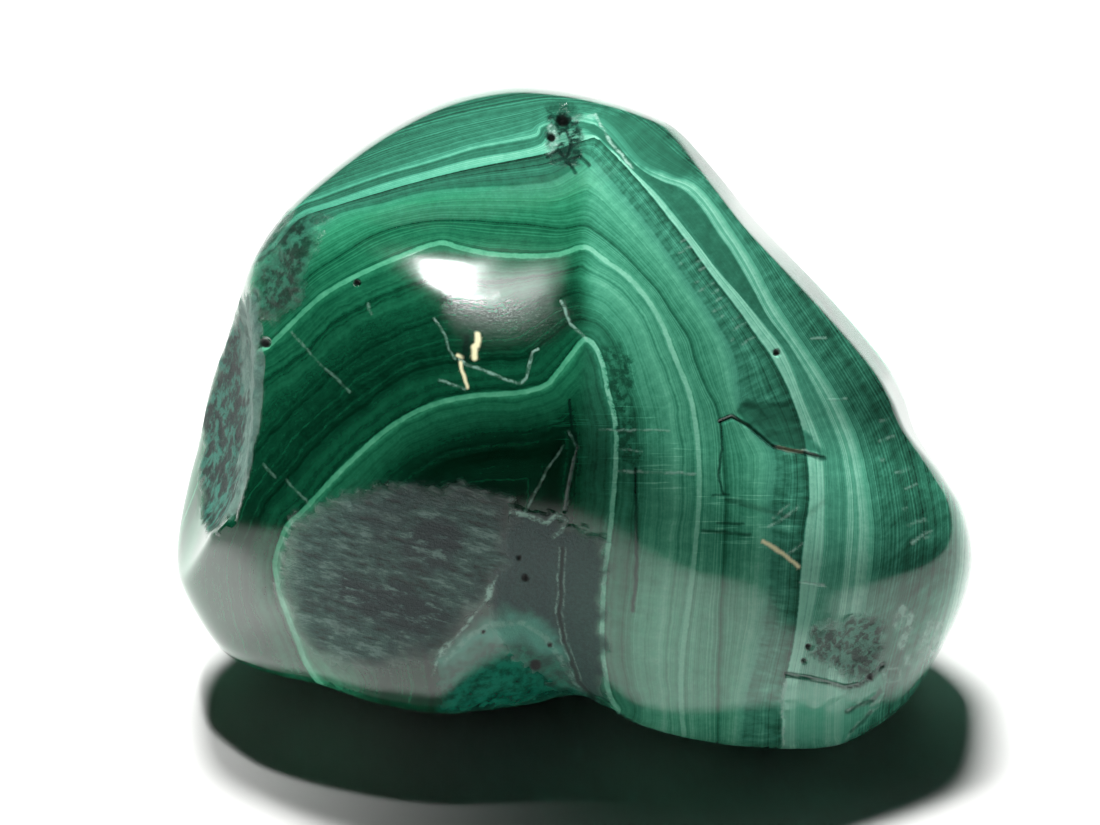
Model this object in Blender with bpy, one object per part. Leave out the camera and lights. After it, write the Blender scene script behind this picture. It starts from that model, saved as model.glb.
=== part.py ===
"""A polished malachite pebble, one solid stone, for Blender 4.5. Metres, +Z up.

The stone is shaped in its viewing frame: u to the right, v up and w towards the eye, with the
heart of the stone at zero. It is a rounded polyhedron of worn facets, fitted to its outline.
A groove is pressed in between its two lobes, and chips are scooped out of it. It is then tipped
back to the angle at which it is seen, and cut flat where it rests.
"""

import math

import bmesh
import bpy
import numpy as np

# Sizes in metres and angles in degrees
STONE_WIDTH = 0.046
VIEW_ELEVATION = 30.0
HEART_PLACE = (-0.000825, -0.0007, 0.0153)
MESH_FINENESS = 5

# Places on the stone's face are pixels of the photograph, x to the right and y down
HEART_PX = (560.0, 430.0)
OUTLINE_PX = [
    (510, 93), (560, 96), (600, 105), (640, 119), (676, 138), (717, 180), (757, 228),
    (813, 285), (855, 330), (892, 375), (908, 408), (917, 440), (940, 482), (960, 515),
    (970, 554), (968, 590), (955, 628), (934, 667), (905, 703), (872, 728), (830, 747),
    (770, 749), (700, 741), (640, 725), (604, 706), (575, 696), (525, 707), (450, 713),
    (385, 704), (327, 686), (270, 675), (228, 656), (198, 617), (180, 575), (177, 535),
    (183, 490), (194, 450), (206, 400), (224, 351), (241, 305), (255, 268), (273, 235),
    (300, 200), (345, 162), (395, 130), (450, 105),
]

# Facets: a point of each, as x and y in pixels and w in mm, then the bearing and tilt it faces
WORN_FACETS = {
    "roof": (440, 280, 13.0, 98, 62),
    "upper_roof": (450, 190, 9.0, 98, 44),
    "right_roof": (630, 230, 11.8, 58, 54),
    "left_face": (320, 410, 12.2, 170, 59),
    "right_face": (740, 400, 12.4, 24, 61),
    "brow": (520, 440, 17.0, 200, 86),
    "belly": (390, 570, 13.5, -104, 67),
    "saddle": (560, 600, 14.9, -78, 70),
    "lower_right_face": (720, 640, 12.0, -70, 65),
    "lower_left_face": (230, 600, 8.0, -156, 52),
    "right_lower_face": (900, 620, 8.8, -35, 52),
    "right_corner": (968, 575, 0, -8, 8),
    "lower_left": (228, 656, 0, -135, 0),
    "left": (177, 540, 0, 178, 0),
    "upper_left": (224, 351, 0, 156, 2),
    "shoulder": (320, 182, 0, 126, 4),
    "crown": (500, 93, 0, 95, 6),
    "upper_right": (640, 119, 0, 66, 4),
    "underside": (560, 751, 0, -90, -30),
    "underside_right": (780, 750, 4.0, -82, -10),
    "underside_left": (420, 712, 4.0, -99, -4),
    "back": (560, 430, -18.0, 0, -88),
    "back_crown": (540, 250, -14.0, 95, -46),
    "back_left": (330, 420, -12.0, 178, -44),
    "back_right": (850, 480, -10.0, 0, -42),
    "back_upper_right": (740, 300, -9.0, 45, -34),
}
CRISP_FACETS = {
    "right_flank": (785, 257, 2.0, 41, 8),
    "broken_corner": (840, 680, 9.4, -70, 44),
}
# How sharply the facets meet; the lower, the rounder
WORN_SHARPNESS = 20.0
CRISP_SHARPNESS = 60.0

# Chips broken out, as balls of air: centre as x and y in pixels and w in mm, then radius in mm
CHIP_SHARPNESS = 90.0
CHIPS = {
    "left_scar": (-169, 361, 11.0, 25.0),
    "left_bruise": (231, 258, 13.2, 5.0),
    "crest_pit": (562, 118, 5.2, 0.9),
    "corner_hollow": (866, 668, 11.2, 3.0),
}

# The groove between the two lobes: middle and spreads across and along in pixels, depth in mm
GROOVE_PX = (552, 680)
GROOVE_SPREADS_PX = (34, 70)
GROOVE_DEPTH = 1.0
GROOVE_FADES_IN_OVER = 6.0

# The outline is fitted in full in front of one depth w in mm, and not at all behind the other
FITTED_IN_FULL_FROM = -4.0
NOT_FITTED_BEHIND = -14.0
CURVE_STEPS = 12

# Where the mesh is made finer: x and y in pixels and w in mm, then how far round each, in mm
FINE_POINTS = [
    (250, 300, 5), (255, 350, 9), (257, 400, 9.5), (255, 440, 9.5), (248, 480, 9.5), (240, 515, 9),
    (232, 550, 8), (225, 590, 7), (282, 280, 9.8), (562, 122, 4.6),
    (655, 127, 3), (700, 170, 4), (740, 217, 6), (779, 268, 7), (818, 318, 8), (858, 366, 8),
    (897, 422, 7), (790, 672, 10.5), (845, 652, 9), (870, 670, 9),
]
FINE_REACHES = (2.6, 1.2)


def direction(bearing, tilt):
    """Unit vector of the viewing frame: bearing runs from u towards v, tilt towards w."""
    b, t = math.radians(bearing), math.radians(tilt)
    return np.array([math.cos(t) * math.cos(b), math.cos(t) * math.sin(b), math.sin(t)])


def mm_per_pixel():
    xs = [x for x, _ in OUTLINE_PX]
    return 1000 * STONE_WIDTH / (max(xs) - min(xs))


def to_plane(points_px):
    """Pixels of the photograph to u and v in millimetres."""
    points = np.asarray(points_px, float)
    flipped = (points - HEART_PX) * (1, -1)
    return flipped * mm_per_pixel()


def outline_radius(bearings):
    """Distance from the heart to the outline along each bearing, in mm, on a closed spline."""
    knots = to_plane(OUTLINE_PX)
    before, after, second = (np.roll(knots, shift, axis=0) for shift in (1, -1, -2))
    curve = []
    for t in np.linspace(0, 1, CURVE_STEPS, endpoint=False):
        curve.append(0.5 * (
            2 * knots + (after - before) * t
            + (2 * before - 5 * knots + 4 * after - second) * t**2
            + (3 * knots - before - 3 * after + second) * t**3
        ))
    curve = np.concatenate(curve)
    angles = np.arctan2(curve[:, 1], curve[:, 0])
    order = np.argsort(angles)
    radii = np.hypot(curve[:, 0], curve[:, 1])
    return np.interp(bearings, angles[order], radii[order], period=2 * math.pi)


def blended(facets, sharpness, dirs):
    """Sum that grows as the directions near the facets; a higher sharpness rounds edges less."""
    total = np.zeros(len(dirs))
    for x, y, w, bearing, tilt in facets.values():
        faces = direction(bearing, tilt)
        reach = faces @ (*to_plane((x, y)), w)
        total += np.clip(dirs @ faces / reach, 0, None) ** sharpness
    return total


def facet_radius(dirs):
    """Distance from the heart to the rounded polyhedron along each direction, in mm."""
    worn = blended(WORN_FACETS, WORN_SHARPNESS, dirs) ** (1 / WORN_SHARPNESS)
    crisp = blended(CRISP_FACETS, CRISP_SHARPNESS, dirs)
    return (worn**CRISP_SHARPNESS + crisp) ** (-1 / CRISP_SHARPNESS)


def polyhedron_outline(bearings):
    """Distance from the heart to the polyhedron's own outline along each bearing, in mm."""
    widest = np.zeros(len(bearings))
    for tilt in np.radians(np.arange(-50, 51, 2)):
        flat = np.cos(tilt)
        dirs = np.stack(
            [flat * np.cos(bearings), flat * np.sin(bearings), np.full(len(bearings), np.sin(tilt))],
            axis=1,
        )
        widest = np.maximum(widest, facet_radius(dirs) * flat)
    return widest


def fitted_to_outline(points):
    """Points moved out or in across the view, so that the widest ones reach the outline."""
    ring = np.radians(np.arange(-180, 180, 1.0))
    own = polyhedron_outline(ring)
    bearings = np.arctan2(points[:, 1], points[:, 0])
    reach = np.interp(bearings, ring, own, period=2 * math.pi)
    share = np.clip(np.hypot(points[:, 0], points[:, 1]) / reach, 0, 1)
    depth_range = FITTED_IN_FULL_FROM - NOT_FITTED_BEHIND
    forward = np.clip((points[:, 2] - NOT_FITTED_BEHIND) / depth_range, 0, 1)
    stretch = 1 + (outline_radius(bearings) / reach - 1) * share**2 * forward
    return points * np.stack([stretch, stretch, np.ones(len(points))], axis=1)


def groove(points):
    """Depth of the groove between the lobes along w, on the side towards the eye, in mm."""
    offset = (points[:, :2] - to_plane(GROOVE_PX)) / mm_per_pixel() / GROOVE_SPREADS_PX
    facing = np.clip(points[:, 2] / GROOVE_FADES_IN_OVER, 0, 1)
    return GROOVE_DEPTH * np.exp(-(offset**2).sum(axis=1) / 2) * facing


def chipped(points):
    """Points moved in towards the heart, out of every chip's ball of air."""
    reach = np.linalg.norm(points, axis=1)
    dirs = points / reach[:, None]
    for x, y, w, radius in CHIPS.values():
        centre = np.array([*to_plane((x, y)), w])
        along = dirs @ centre
        inside = along**2 - centre @ centre + radius**2
        entry = along - np.sqrt(np.clip(inside, 0, None))
        hit = (inside > 0) & (along > 0)
        rounded = (reach[hit] ** -CHIP_SHARPNESS + entry[hit] ** -CHIP_SHARPNESS) ** (-1 / CHIP_SHARPNESS)
        reach[hit] = rounded
    return dirs * reach[:, None]


def stone_surface(dirs):
    """The point of the stone's surface along each direction from its heart, in mm."""
    points = fitted_to_outline(dirs * facet_radius(dirs)[:, None])
    points[:, 2] -= groove(points)
    return chipped(points)


def tipped_back(points):
    """From the viewing frame to X right, Y away and Z up, in metres, with the base at Z = 0."""
    c, s = math.cos(math.radians(VIEW_ELEVATION)), math.sin(math.radians(VIEW_ELEVATION))
    u, v, w = points.T / 1000
    return np.stack([u, v * s - w * c, v * c + w * s], axis=1) + HEART_PLACE


def polished_green():
    material = bpy.data.materials.new("malachite")
    material.use_nodes = True
    surface = material.node_tree.nodes["Principled BSDF"]
    surface.inputs["Base Color"].default_value = (0.02, 0.17, 0.08, 1)
    surface.inputs["Roughness"].default_value = 0.12
    surface.inputs["Metallic"].default_value = 0.0
    return material


def refined_where_it_matters(shape):
    """Quarter the faces of the unit ball that fall near a fine line, and leave only triangles."""
    for reach in FINE_REACHES:
        faces = shape.faces[:]
        middles = stone_surface(np.array([face.calc_center_median().normalized() for face in faces]))
        nearest = np.full(len(faces), np.inf)
        for x, y, w in FINE_POINTS:
            nearest = np.minimum(nearest, np.linalg.norm(middles - (*to_plane((x, y)), w), axis=1))
        fine = {face for face, away in zip(faces, nearest) if away < reach}
        edges = [edge for edge in shape.edges if fine.intersection(edge.link_faces)]
        bmesh.ops.subdivide_edges(shape, edges=edges, cuts=1, use_grid_fill=True)
        bmesh.ops.triangulate(shape, faces=shape.faces[:])


def build_stone():
    shape = bmesh.new()
    bmesh.ops.create_icosphere(shape, subdivisions=MESH_FINENESS, radius=1)
    refined_where_it_matters(shape)
    dirs = np.array([v.co.normalized() for v in shape.verts])
    places = tipped_back(stone_surface(dirs))
    for vertex, place in zip(shape.verts, places):
        vertex.co = place
    bmesh.ops.bisect_plane(
        shape, geom=shape.verts[:] + shape.edges[:] + shape.faces[:],
        plane_co=(0, 0, 0), plane_no=(0, 0, -1), clear_outer=True,
    )
    rim = [edge for edge in shape.edges if edge.is_boundary]
    bmesh.ops.contextual_create(shape, geom=rim)
    bmesh.ops.recalc_face_normals(shape, faces=shape.faces[:])
    mesh = bpy.data.meshes.new("stone")
    shape.to_mesh(mesh)
    shape.free()
    mesh.shade_smooth()
    mesh.set_sharp_from_angle(angle=math.radians(40))
    mesh.materials.append(polished_green())
    stone = bpy.data.objects.new("stone", mesh)
    bpy.context.scene.collection.objects.link(stone)
    return stone


def main():
    for old in list(bpy.data.objects):
        bpy.data.objects.remove(old)
    build_stone()


main()
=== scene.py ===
"""Looks of the polished malachite pebble: the same stone as a fine mesh, with its bands and flaws.

The stone is shaped as in the solid, in its viewing frame: u to the right, v up and w towards the
eye, in millimetres from its heart. Places on its face are pixels of the photograph, seen from the
camera. Band lines are nested about one growth centre, and a band count grows from line to line.
Behind the face the bands close round the stone as shells.
"""

import math
from typing import NamedTuple

import bmesh
import bpy
import numpy as np
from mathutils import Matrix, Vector, noise


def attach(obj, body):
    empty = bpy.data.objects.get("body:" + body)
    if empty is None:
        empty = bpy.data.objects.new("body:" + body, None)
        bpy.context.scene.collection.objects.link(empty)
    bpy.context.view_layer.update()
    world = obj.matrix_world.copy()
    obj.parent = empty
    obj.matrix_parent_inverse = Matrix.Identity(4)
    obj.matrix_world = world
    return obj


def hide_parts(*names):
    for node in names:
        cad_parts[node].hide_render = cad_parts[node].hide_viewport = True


class Noise(NamedTuple):
    """A noise and its uses: how much it changes a value, and between which values it is spots."""

    scale: float
    detail: float
    roughness: float = 0.55
    swing: float = 0.0
    spots: tuple = (0.0, 1.0)


# Sizes in metres and angles in degrees, as in the solid
STONE_WIDTH = 0.046
VIEW_ELEVATION = 30.0
HEART_PLACE = (-0.000825, -0.0007, 0.0153)
# The noise that moves flaws about follows this seed, so that each run gives the same stone
NOISE_SEED = 5

# The camera
EYE_DISTANCE = 0.26
PICTURE_WIDTH_PX = 1100
PICTURE_MIDDLE_PX = (550.0, 412.5)
AIMED_AT_PX = (550.0, 420.5)
SENSOR_WIDTH = 36.0

HEART_PX = (560.0, 430.0)
OUTLINE_PX = [
    (510, 93), (560, 96), (600, 105), (640, 119), (676, 138), (717, 180), (757, 228),
    (813, 285), (855, 330), (892, 375), (908, 408), (917, 440), (940, 482), (960, 515),
    (970, 554), (968, 590), (955, 628), (934, 667), (905, 703), (872, 728), (830, 747),
    (770, 749), (700, 741), (640, 725), (604, 706), (575, 696), (525, 707), (450, 713),
    (385, 704), (327, 686), (270, 675), (228, 656), (198, 617), (180, 575), (177, 535),
    (183, 490), (194, 450), (206, 400), (224, 351), (241, 305), (255, 268), (273, 235),
    (300, 200), (345, 162), (395, 130), (450, 105),
]

# Facets: a point of each, as x and y in pixels and w in mm, then the bearing and tilt it faces
WORN_FACETS = {
    "roof": (440, 280, 13.0, 98, 62),
    "upper_roof": (450, 190, 9.0, 98, 44),
    "right_roof": (630, 230, 11.8, 58, 54),
    "left_face": (320, 410, 12.2, 170, 59),
    "right_face": (740, 400, 12.4, 24, 61),
    "brow": (520, 440, 17.0, 200, 86),
    "belly": (390, 570, 13.5, -104, 67),
    "saddle": (560, 600, 14.9, -78, 70),
    "lower_right_face": (720, 640, 12.0, -70, 65),
    "lower_left_face": (230, 600, 8.0, -156, 52),
    "right_lower_face": (900, 620, 8.8, -35, 52),
    "right_corner": (968, 575, 0, -8, 8),
    "lower_left": (228, 656, 0, -135, 0),
    "left": (177, 540, 0, 178, 0),
    "upper_left": (224, 351, 0, 156, 2),
    "shoulder": (320, 182, 0, 126, 4),
    "crown": (500, 93, 0, 95, 6),
    "upper_right": (640, 119, 0, 66, 4),
    "underside": (560, 751, 0, -90, -30),
    "underside_right": (780, 750, 4.0, -82, -10),
    "underside_left": (420, 712, 4.0, -99, -4),
    "back": (560, 430, -18.0, 0, -88),
    "back_crown": (540, 250, -14.0, 95, -46),
    "back_left": (330, 420, -12.0, 178, -44),
    "back_right": (850, 480, -10.0, 0, -42),
    "back_upper_right": (740, 300, -9.0, 45, -34),
}
CRISP_FACETS = {
    "right_flank": (785, 257, 2.0, 41, 8),
    "broken_corner": (840, 680, 9.4, -70, 44),
}
WORN_SHARPNESS = 20.0
CRISP_SHARPNESS = 60.0

# Chips, as balls of air: centre as x and y in pixels and w in mm, then radius in mm
CHIP_SHARPNESS = 90.0
CHIPS = {
    "left_scar": (-169, 361, 11.0, 25.0),
    "left_bruise": (231, 258, 13.2, 5.0),
    "crest_pit": (562, 118, 5.2, 0.9),
    "corner_hollow": (866, 668, 11.2, 3.0),
}

GROOVE_PX = (552, 680)
GROOVE_SPREADS_PX = (34, 70)
GROOVE_DEPTH = 1.0
GROOVE_FADES_IN_OVER = 6.0

# Where the lower edge of the face tucks in under: x and half width in pixels, the y at which it
# starts and the y at which it is full, and how far back along w in mm
TUCKS = {
    "between_lobes": (520, 62, 632, 708, 1.8),
    "left_lobe": (370, 75, 672, 712, 0.5),
}

# Low swellings that turn the face up: x and y in pixels, spreads in pixels, height along w in mm
SWELLINGS = {
    "belly_top": (440, 525, 50, 42, 0.18),
    "core": (560, 550, 50, 44, 0.38),
    "right_lobe": (694, 590, 74, 46, 0.60),
    "right_foot": (814, 662, 70, 42, 0.88),
}

FITTED_IN_FULL_FROM = -4.0
NOT_FITTED_BEHIND = -14.0
CURVE_STEPS = 12

# How fine the mesh is: everywhere, then in front of these depths w in mm, then within this many
# pixels of a flaw
COARSE_LEVEL = 6
FINER_IN_FRONT_OF = (-2.0, 3.0)
FINEST_WITHIN_PX = 4.0
FLAWS_SEEN_FROM = (-1.0, 1.5)

# Band lines from the growth centre outwards
BAND_LINES = [
    [
        (325, 690), (317, 680), (306, 663), (295, 635), (281, 598), (277, 580), (275, 562),
        (281, 540), (288, 525), (302, 512), (325, 487), (355, 457), (390, 427), (429, 406),
        (470, 396), (500, 394), (523, 392), (546, 385), (557, 373), (571, 355), (585, 339),
        (597, 350), (604, 370), (608, 392), (613, 410), (616, 430), (616, 460), (613, 500),
        (609, 540), (605, 570), (603, 600), (602, 640), (604, 665), (610, 696), (619, 710),
    ],
    [
        (190, 740), (150, 600), (165, 520), (198, 430), (238, 368), (262, 350), (273, 342),
        (319, 298), (358, 275), (399, 257), (438, 243), (461, 248), (491, 254), (530, 256),
        (560, 254), (585, 247), (606, 261), (629, 278), (647, 299), (661, 322), (675, 357),
        (690, 395), (696, 428), (699, 461), (699, 500), (696, 540), (693, 570), (688, 610),
        (682, 660), (681, 700), (684, 735),
    ],
    [
        (170, 780), (135, 620), (150, 480), (225, 350), (285, 300), (310, 275), (340, 255),
        (381, 231), (427, 221), (472, 220), (518, 223), (560, 228), (583, 225), (594, 230),
        (617, 248), (640, 271), (659, 292), (670, 310), (689, 338), (695, 360), (708, 390),
        (716, 405), (722, 430), (724, 460), (726, 500), (724, 560), (720, 640), (718, 740),
    ],
    [
        (155, 780), (115, 620), (130, 480), (215, 300), (323, 222), (381, 204), (427, 192),
        (472, 188), (518, 186), (548, 183), (567, 174), (580, 163), (585, 153), (606, 175),
        (629, 202), (652, 232), (675, 264), (698, 297), (721, 331), (734, 360), (741, 405),
        (773, 450), (772, 500), (770, 550), (766, 612), (756, 657), (745, 700), (740, 745),
    ],
    [
        (135, 780), (95, 620), (110, 480), (205, 300), (266, 257), (298, 220), (335, 206),
        (381, 192), (427, 179), (472, 168), (518, 159), (546, 153), (585, 140), (600, 140),
        (632, 173), (652, 196), (670, 219), (689, 244), (707, 269), (732, 301), (755, 333),
        (770, 354), (787, 385), (800, 420), (807, 455), (809, 500), (803, 545), (799, 600),
        (793, 650), (784, 690), (782, 745),
    ],
    [
        (120, 780), (80, 620), (95, 480), (198, 300), (266, 250), (296, 215), (335, 200),
        (381, 184), (427, 171), (472, 159), (518, 151), (541, 144), (552, 133), (590, 130),
        (633, 168), (659, 189), (675, 207), (698, 237), (721, 269), (744, 297), (767, 326),
        (787, 354), (805, 400), (822, 440), (826, 458), (827, 500), (827, 540), (822, 580),
        (815, 612), (806, 650), (799, 690), (797, 745),
    ],
    [
        (105, 780), (65, 620), (80, 480), (190, 300), (287, 215), (323, 197), (381, 176),
        (427, 163), (472, 149), (507, 142), (537, 136), (545, 125), (595, 124), (636, 165),
        (661, 180), (684, 188), (702, 206), (719, 232), (732, 250), (751, 283), (768, 316),
        (790, 345), (815, 385), (832, 420), (843, 450), (848, 480), (850, 510), (848, 550),
        (843, 600), (836, 640), (830, 690), (828, 740),
    ],
    [
        (90, 780), (55, 620), (75, 480), (195, 300), (289, 208), (323, 188), (381, 168),
        (427, 153), (472, 140), (507, 131), (535, 122), (560, 112), (604, 120), (640, 161),
        (670, 175), (694, 184), (712, 203), (732, 232), (753, 265), (771, 299), (802, 346),
        (825, 380), (845, 415), (858, 450), (866, 490), (870, 530), (868, 570), (862, 610),
        (852, 650), (843, 690), (840, 735),
    ],
    [
        (60, 780), (30, 620), (50, 480), (180, 300), (285, 190), (340, 160), (400, 135),
        (460, 118), (520, 106), (565, 102), (620, 112), (679, 159), (721, 193), (755, 228),
        (790, 274), (835, 338), (865, 385), (890, 430), (905, 480), (912, 530), (908, 580),
        (895, 630), (880, 690), (875, 740),
    ],
]
BAND_CURVE_STEPS = 4
BELOW_THE_STONE_PX = 900
CORE_REACH_PX = 120.0
OUTER_BAND_PX = 34.0
FIBRE_LINE = 4
# Behind this depth w in mm the bands close round the stone, one shell for each spacing in mm
SHELLS_BEHIND = 0.5
SHELL_SPACING = 1.3
GROWTH_DRIFT = (0.6, 0.5)
# The inner lines end behind the face: how many pixels away they seem for each mm
LINES_END_BEHIND = 100
LIMBS_MEET_BETWEEN_PX = (572.0, 598.0)

# Pits: x and y and radius in pixels, depth in mm
PITS = {
    "crest": (562, 121, 8, 0.45),
    "crest_left": (551, 137, 5, 0.20),
    "left_pit": (265, 343, 6, 0.30),
    "upper_left_pit": (357, 283, 4, 0.20),
    "band_pit": (777, 353, 4, 0.22),
    "saddle_pit_upper": (518.6, 557.5, 3, 0.15),
    "saddle_pit_lower": (525.6, 577, 4.5, 0.20),
    "vein_pit": (483, 632, 2.5, 0.10),
    "arch_pit": (550, 644, 3, 0.15),
    "arch_smudge": (535, 665, 7, 0.06),
    "corner_pit_left": (808, 646, 3.5, 0.20),
    "corner_pit_lower": (804, 660, 3.5, 0.20),
    "corner_pit_right": (871, 677, 4.5, 0.25),
}

# Cracks: width in pixels and depth in mm, then the line that each follows
CRACKS = {
    "ledge": (3.0, 0.20, [
        (786, 674), (807, 677), (829, 682), (846, 687), (860, 684), (871, 677), (884, 664),
    ]),
    "fault_top": (3.0, 0.10, [
        (720, 422), (732, 417), (748, 426), (773, 447), (805, 454), (824, 458),
    ]),
    "fault_side": (1.4, 0.03, [(720, 424), (722, 450), (719, 475), (724, 495)]),
    "cusp_left": (2.0, 0.10, [(547, 157), (558, 150), (566, 160), (580, 156), (590, 166)]),
    "cusp_right": (2.0, 0.10, [(566, 130), (572, 145), (566, 160), (575, 172)]),
    "core_crack": (2.0, 0.06, [
        (563, 548), (561, 584), (560, 612), (564, 640), (578, 680), (595, 699),
    ]),
    "core_upper": (1.6, 0.04, [
        (569, 400), (573, 431), (578, 447), (573, 465), (569, 484), (565, 511),
    ]),
    "dark_line": (2.2, 0.03, [(635, 468), (637, 500), (637, 560), (633, 610)]),
}

# Pale lines: scratches, healed cracks and veins, and the brow's crack network and the fault's crumbs, whose
# paleness is partly painted glints. Width in pixels, strength, then the line
PALE_LINES = {
    "left_scratch": (1.2, 0.32, [(292, 332), (321, 365), (350, 392)]),
    "left_low_scratch": (1.2, 0.32, [(286, 480), (311, 505)]),
    "left_edge_scratch": (1.2, 0.40, [(263, 464), (275, 477)]),
    "roof_tick": (1.3, 0.40, [(367, 305), (371, 314)]),
    "brow_scratch": (1.3, 0.60, [(440, 380), (465, 389)]),
    # The brow's crack network: pale edges that are partly painted glints
    "brow_crack": (1.5, 0.70, [
        (460, 360), (468, 365), (493, 374), (520, 384), (527, 378), (532, 352), (537, 349),
    ]),
    "brow_net": (1.2, 0.45, [(435, 319), (445, 335), (449, 351), (456, 360)]),
    "crest_vein": (1.5, 0.60, [(562, 300), (567, 314), (571, 325), (587, 339)]),
    "healed_crack": (1.4, 0.60, [(569, 431), (578, 447), (573, 465), (569, 484), (565, 511)]),
    "faint_crack": (1.2, 0.45, [(564, 445), (546, 472), (530, 502), (523, 516)]),
    "white_vein": (2.6, 0.95, [
        (511, 513), (527, 516), (546, 523), (557, 515), (567, 520), (560, 532), (553, 536),
    ]),
    "seam_left": (1.2, 0.60, [(560, 548), (558, 584), (557, 612), (561, 640), (575, 680)]),
    "seam_right": (1.0, 0.40, [(566, 548), (564, 584), (563, 612), (567, 640), (581, 680)]),
    "dotted_edge": (1.4, 0.70, [(498, 576), (492, 590), (485, 602), (469, 623), (443, 649), (432, 674)]),
    "dotted_blob": (4.0, 0.90, [(491, 588), (488, 596)]),
    "dotted_foot": (4.0, 0.80, [(447, 645), (442, 652)]),
    "limb_scratch": (1.1, 0.55, [(600, 430), (670, 431)]),
    "limb_tick": (1.1, 0.45, [(619, 449), (641, 451)]),
    "limb_long_scratch": (1.5, 0.70, [(617, 471), (660, 472), (697, 474)]),
    "low_cross": (1.4, 0.80, [(785, 556), (803, 543)]),
    "low_bent": (1.4, 0.75, [(769, 526), (780, 520), (798, 507)]),
    "low_slant": (1.3, 0.60, [(772, 518), (789, 504)]),
    # The fault's crumbs: partly a painted highlight
    "fault_crumbs": (2.0, 0.80, [(775, 446), (790, 452), (805, 451), (818, 456)]),
    "low_tick": (1.5, 0.80, [(801, 581), (825, 585)]),
    "dash_high": (1.3, 0.60, [(812, 339), (826, 338)]),
    "dash_middle": (1.3, 0.60, [(828, 399), (847, 398)]),
    "dash_rim": (1.8, 0.80, [(912, 543), (930, 531)]),
    "blue_line": (1.6, 0.90, [(595, 115), (610, 140), (632, 168)]),
    "box_outline": (1.4, 0.60, [(883, 668), (900, 668), (900, 680), (886, 681), (883, 668)]),
    "crest_crystals": (4.0, 0.95, [(551, 128), (556, 140), (549, 152)]),
    "crest_cell": (3.0, 0.70, [(574, 118), (593, 117)]),
    "facet_left": (2.2, 0.90, [(785, 680), (783, 712), (784, 744)]),
    "facet_right": (1.6, 0.60, [(884, 690), (878, 706), (858, 722), (846, 740)]),
    "arch_rim": (3.0, 0.40, [
        (446, 660), (470, 636), (492, 624), (520, 622), (545, 636), (562, 662), (580, 690),
    ]),
}
# Cream lines: the glints under the brow are painted highlights, the crumbs on the fault are partly a
# painted highlight, and the cream scratch is the stone's own. Width in pixels, strength, then the line
CREAM_AND_GLINT_LINES = {
    "glint": (3.4, 1.0, [(478, 336), (477, 346), (474, 348), (475, 358)]),
    "glint_foot": (1.8, 1.0, [(461, 363), (468, 388)]),
    "glint_speck": (2.2, 0.9, [(458, 356), (462, 358)]),
    "scratch_core": (2.2, 1.0, [(764, 540), (780, 552), (798, 566)]),
    "crumb_core": (1.6, 0.7, [(777, 447), (802, 452)]),
}
# Dark lines: width in pixels, strength, then the line. The gap beside the glint is painted shade in the
# small cavity there
DARK_LINES = {
    "tick_high": (1.6, 0.8, [(718, 523), (743, 523)]),
    "tick_middle": (1.8, 0.8, [(702, 530), (750, 534)]),
    "tick_low": (1.5, 0.8, [(713, 495), (730, 495)]),
    "glint_cavity_shade": (4.0, 1.0, [(466, 338), (465, 357)]),
    "facet_groove": (2.5, 0.8, [(846, 712), (858, 706), (872, 700), (880, 690)]),
    "facet_groove_low": (2.0, 0.7, [(850, 732), (862, 722), (870, 712)]),
    "haze_rim": (1.5, 0.7, [(441, 300), (452, 296), (474, 298), (470, 306), (450, 308)]),
    "haze_fold": (1.4, 0.6, [(470, 312), (482, 318), (494, 316), (489, 326), (474, 330)]),
    "haze_lip": (1.3, 0.5, [(466, 322), (478, 332), (492, 334)]),
}
# Short strokes near the right rim: first and last place of each row, its count, then one stroke's
# run, width and strength
DASH_ROWS = {
    "ladder": ((893, 640), (930, 660), 5, (10, -34), 4.2, 1.0),
    "rim": ((874, 424), (920, 540), 8, (16, -6), 1.6, 0.45),
    "comb": ((676, 246), (742, 344), 15, (14, -8), 1.3, 0.4),
}
# How the strokes of a row change from one to the next, in radians, and by what share in length and
# place
STROKE_CHANGE = 2.3
STROKE_LENGTHS = (0.55, 0.45)
STROKE_SHIFT = 0.4

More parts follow.
